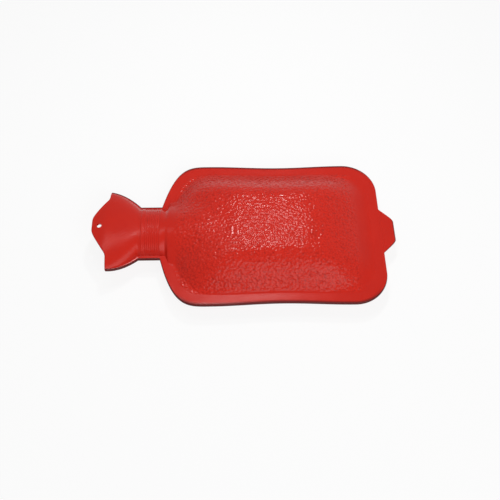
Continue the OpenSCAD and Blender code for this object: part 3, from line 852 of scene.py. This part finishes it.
def make_stopper(material):
    """The stopper: a hollow screw core, a round flange and a rounded grip with a hole through it."""
    root_r = CORE_R - THREAD_H
    back = -WASHER_T - CAP_T
    hollow_end = SCREW_LEN - HOLLOW_DEPTH
    corners = [[back, CAP_R], [-WASHER_T, CAP_R], [-WASHER_T, CORE_R], [COLLAR_LEN, CORE_R],
               [COLLAR_LEN + COLLAR_SLOPE, root_r], [SCREW_LEN - TIP_BEVEL, root_r],
               [SCREW_LEN, root_r - TIP_BEVEL], [SCREW_LEN, HOLLOW_R], [hollow_end, HOLLOW_R]]
    # Every corner is rounded but the hollow's end and the two on the axis.
    profile = rounded(corners, SCREW_SOFT, SCREW_STEPS)[:-SCREW_STEPS - 1]
    profile += [corners[-1], [hollow_end, AXIS_R], [back, AXIS_R]]
    piece = lathe("stopper_plug", profile)
    combine(piece, make_grip(), "UNION", "EXACT")
    piece.data.set_sharp_from_angle(angle=SHARP)
    piece.data.materials.clear()
    piece.data.materials.append(material)
    return piece


def grip_reach(angle, hole_x, left, right):
    """Distance from the hole's middle to the grip's outline in one direction, found by halving."""
    near, far = 0.0, 2*GRIP_LEN
    for _ in range(HALVINGS):
        r = (near + far)/2
        x, y = hole_x + r*math.cos(angle), r*math.sin(angle)
        inside = left <= x <= right and abs(y) <= GRIP_W/2
        if inside and x < left + GRIP_R and abs(y) > GRIP_W/2 - GRIP_R:
            inside = math.hypot(x - left - GRIP_R, abs(y) - GRIP_W/2 + GRIP_R) <= GRIP_R
        near, far = (r, far) if inside else (near, r)
    return near


def make_grip():
    """The stopper's grip: a plate with rounded corners and softened edges round its hole."""
    face_x = SEAT_X - WASHER_T - CAP_T
    left = face_x + GRIP_SUNK - GRIP_LEN
    hole_x = face_x - GRIP_LEN/2
    rings = []
    for k in range(GRIP_POINTS):
        a = math.tau*k/GRIP_POINTS
        reach = grip_reach(a, hole_x, left, left + GRIP_LEN)
        profile = rounded([[GRIP_HOLE_R, -GRIP_T/2], [reach, -GRIP_T/2], [reach, GRIP_T/2],
                           [GRIP_HOLE_R, GRIP_T/2]], GRIP_SOFT, GRIP_STEPS)
        rings.append([[hole_x + q*math.cos(a), q*math.sin(a), SEAM_Z + z] for q, z in profile])
    return loop_mesh("grip", np.array(rings))


def make_washer(material):
    """The sealing washer, its edges softened by the press."""
    inner = CORE_R + WASHER_GAP
    profile = [[-WASHER_T, inner], [-WASHER_T, WASHER_R], [0, WASHER_R], [0, inner]]
    piece = lathe("seal_ring", rounded(profile, WASHER_SOFT, WASHER_STEPS))
    piece.data.materials.append(material)
    return piece


# Camera, floor and light

def make_camera():
    """The photograph's view, from above the near side."""
    up_angle, side_angle, roll = (math.radians(a) for a in (VIEW_UP, VIEW_SIDE, VIEW_ROLL))
    ahead = Vector((math.sin(side_angle)*math.cos(up_angle), math.cos(side_angle)*math.cos(up_angle),
                    -math.sin(up_angle)))
    right = Vector((math.cos(side_angle), -math.sin(side_angle), 0))
    up = right.cross(ahead)
    right_rolled = right*math.cos(roll) + up*math.sin(roll)
    up_rolled = up*math.cos(roll) - right*math.sin(roll)
    turn = Matrix((right_rolled, up_rolled, -ahead)).transposed().to_4x4()
    data = bpy.data.cameras.new("camera")
    data.sensor_width = SENSOR
    data.lens = LENS
    camera = bpy.data.objects.new("camera", data)
    camera.matrix_world = Matrix.Translation(VIEW_TARGET - ahead*VIEW_DISTANCE) @ turn
    bpy.context.collection.objects.link(camera)
    bpy.context.scene.camera = camera


def background_rays(tree):
    """1 for the rays that show the background itself: the camera's, reflected and transmitted ones."""
    path = add(tree, "ShaderNodeLightPath").outputs
    seen = add(tree, "ShaderNodeMath", {0: path["Is Camera Ray"], 1: path["Is Glossy Ray"]},
               operation="MAXIMUM")
    seen = add(tree, "ShaderNodeMath", {0: seen.outputs[0], 1: path["Is Transmission Ray"]},
               operation="MAXIMUM")
    return seen.outputs[0]


def make_floor():
    """A wide pale floor. The background's rays see it near white, with the object's shadow kept on it."""
    corners = [[x*FLOOR_HALF, y*FLOOR_HALF, 0] for x, y in ((-1, -1), (1, -1), (1, 1), (-1, 1))]
    floor = new_piece("floor", corners, [(0, 1, 2, 3)])
    material, tree, skin = surface("matt floor paint")
    skin.inputs["Base Color"].default_value = linear("#F2F2F2")
    skin.inputs["Roughness"].default_value = 0.9
    skin.inputs["Specular IOR Level"].default_value = 0.1
    glow = add(tree, "ShaderNodeMath", {0: background_rays(tree), 1: FLOOR_GLOW}, operation="MULTIPLY")
    white = add(tree, "ShaderNodeEmission", {"Color": linear("#FFFFFF"), "Strength": 1.0})
    both = add(tree, "ShaderNodeMixShader", {0: glow.outputs[0], 1: skin.outputs[0], 2: white.outputs[0]})
    out = next(n for n in tree.nodes if n.type == "OUTPUT_MATERIAL")
    tree.links.new(both.outputs[0], out.inputs["Surface"])
    floor.data.materials.append(material)


def softbox(name, direction, distance, width, height, power):
    """A rectangular white lamp that faces the bottle from a direction, in metres and watts."""
    data = bpy.data.lights.new(name, "AREA")
    data.shape = "RECTANGLE"
    data.size = width
    data.size_y = height
    data.energy = power
    lamp = bpy.data.objects.new(name, data)
    way = Vector(direction).normalized()
    lamp.location = way*distance + LAMP_TARGET
    lamp.rotation_mode = "QUATERNION"
    lamp.rotation_quaternion = way.to_track_quat("Z", "Y")
    bpy.context.collection.objects.link(lamp)


def make_light():
    """Soft studio light. The grain on the crown's middle mirrors the small lamp beyond the bottle in
    sparkles. A weaker one above, a softbox at the left and a wide fill on the near side light the rest."""
    softbox("far softbox", (0.05, 0.46, 0.885), 0.711, 0.06, 0.05, 1.8)
    softbox("upper softbox", (-0.1, 0.22, 1.0), 0.625, 0.03, 0.03, 0.4)
    softbox("left softbox", (-0.27, 0.2, 0.94), 1.3, 0.3, 0.3, 1.2)
    softbox("near fill", (0.3, -0.7, 0.65), 1.8, 1.6, 1.0, 17)


def make_world():
    """A pale room that the background's rays see pure white."""
    world = bpy.data.worlds.new("pale room")
    bpy.context.scene.world = world
    world.use_nodes = True
    tree = world.node_tree
    tree.nodes.clear()
    room = add(tree, "ShaderNodeBackground", {"Color": linear("#F4F4F4"), "Strength": ROOM_LIGHT})
    white = add(tree, "ShaderNodeBackground", {"Color": linear("#FFFFFF"), "Strength": 1.0})
    both = add(tree, "ShaderNodeMixShader", {
        0: background_rays(tree), 1: room.outputs[0], 2: white.outputs[0]})
    add(tree, "ShaderNodeOutputWorld", {"Surface": both.outputs[0]})
    bpy.context.scene.view_settings.view_transform = "Standard"


make_camera()
make_floor()
make_light()
make_world()

rubber, brass, plastic, seal = moulded_rubber(), turned_brass(), moulded_plastic(), washer_rubber()

bottle = make_bottle(rubber)
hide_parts("bottle_body")
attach(bottle, "bottle")

bush = make_insert(brass)
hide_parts("threaded_insert")
bush_thread = make_thread("insert_thread", BORE_R + THREAD_H, INSERT_PLAIN, INSERT_LEN - 2*INSERT_PLAIN,
                          brass)
for piece in (bush, bush_thread):
    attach(piece, "bottle")

plug = make_stopper(plastic)
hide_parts("stopper")
plug_thread = make_thread("stopper_thread", CORE_R - THREAD_H, SCREW_PLAIN,
                           SCREW_LEN - SCREW_PLAIN - TIP_PLAIN, plastic)
for piece in (plug, plug_thread):
    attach(piece, "stopper")

ring = make_washer(seal)
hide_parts("sealing_washer")
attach(ring, "washer")
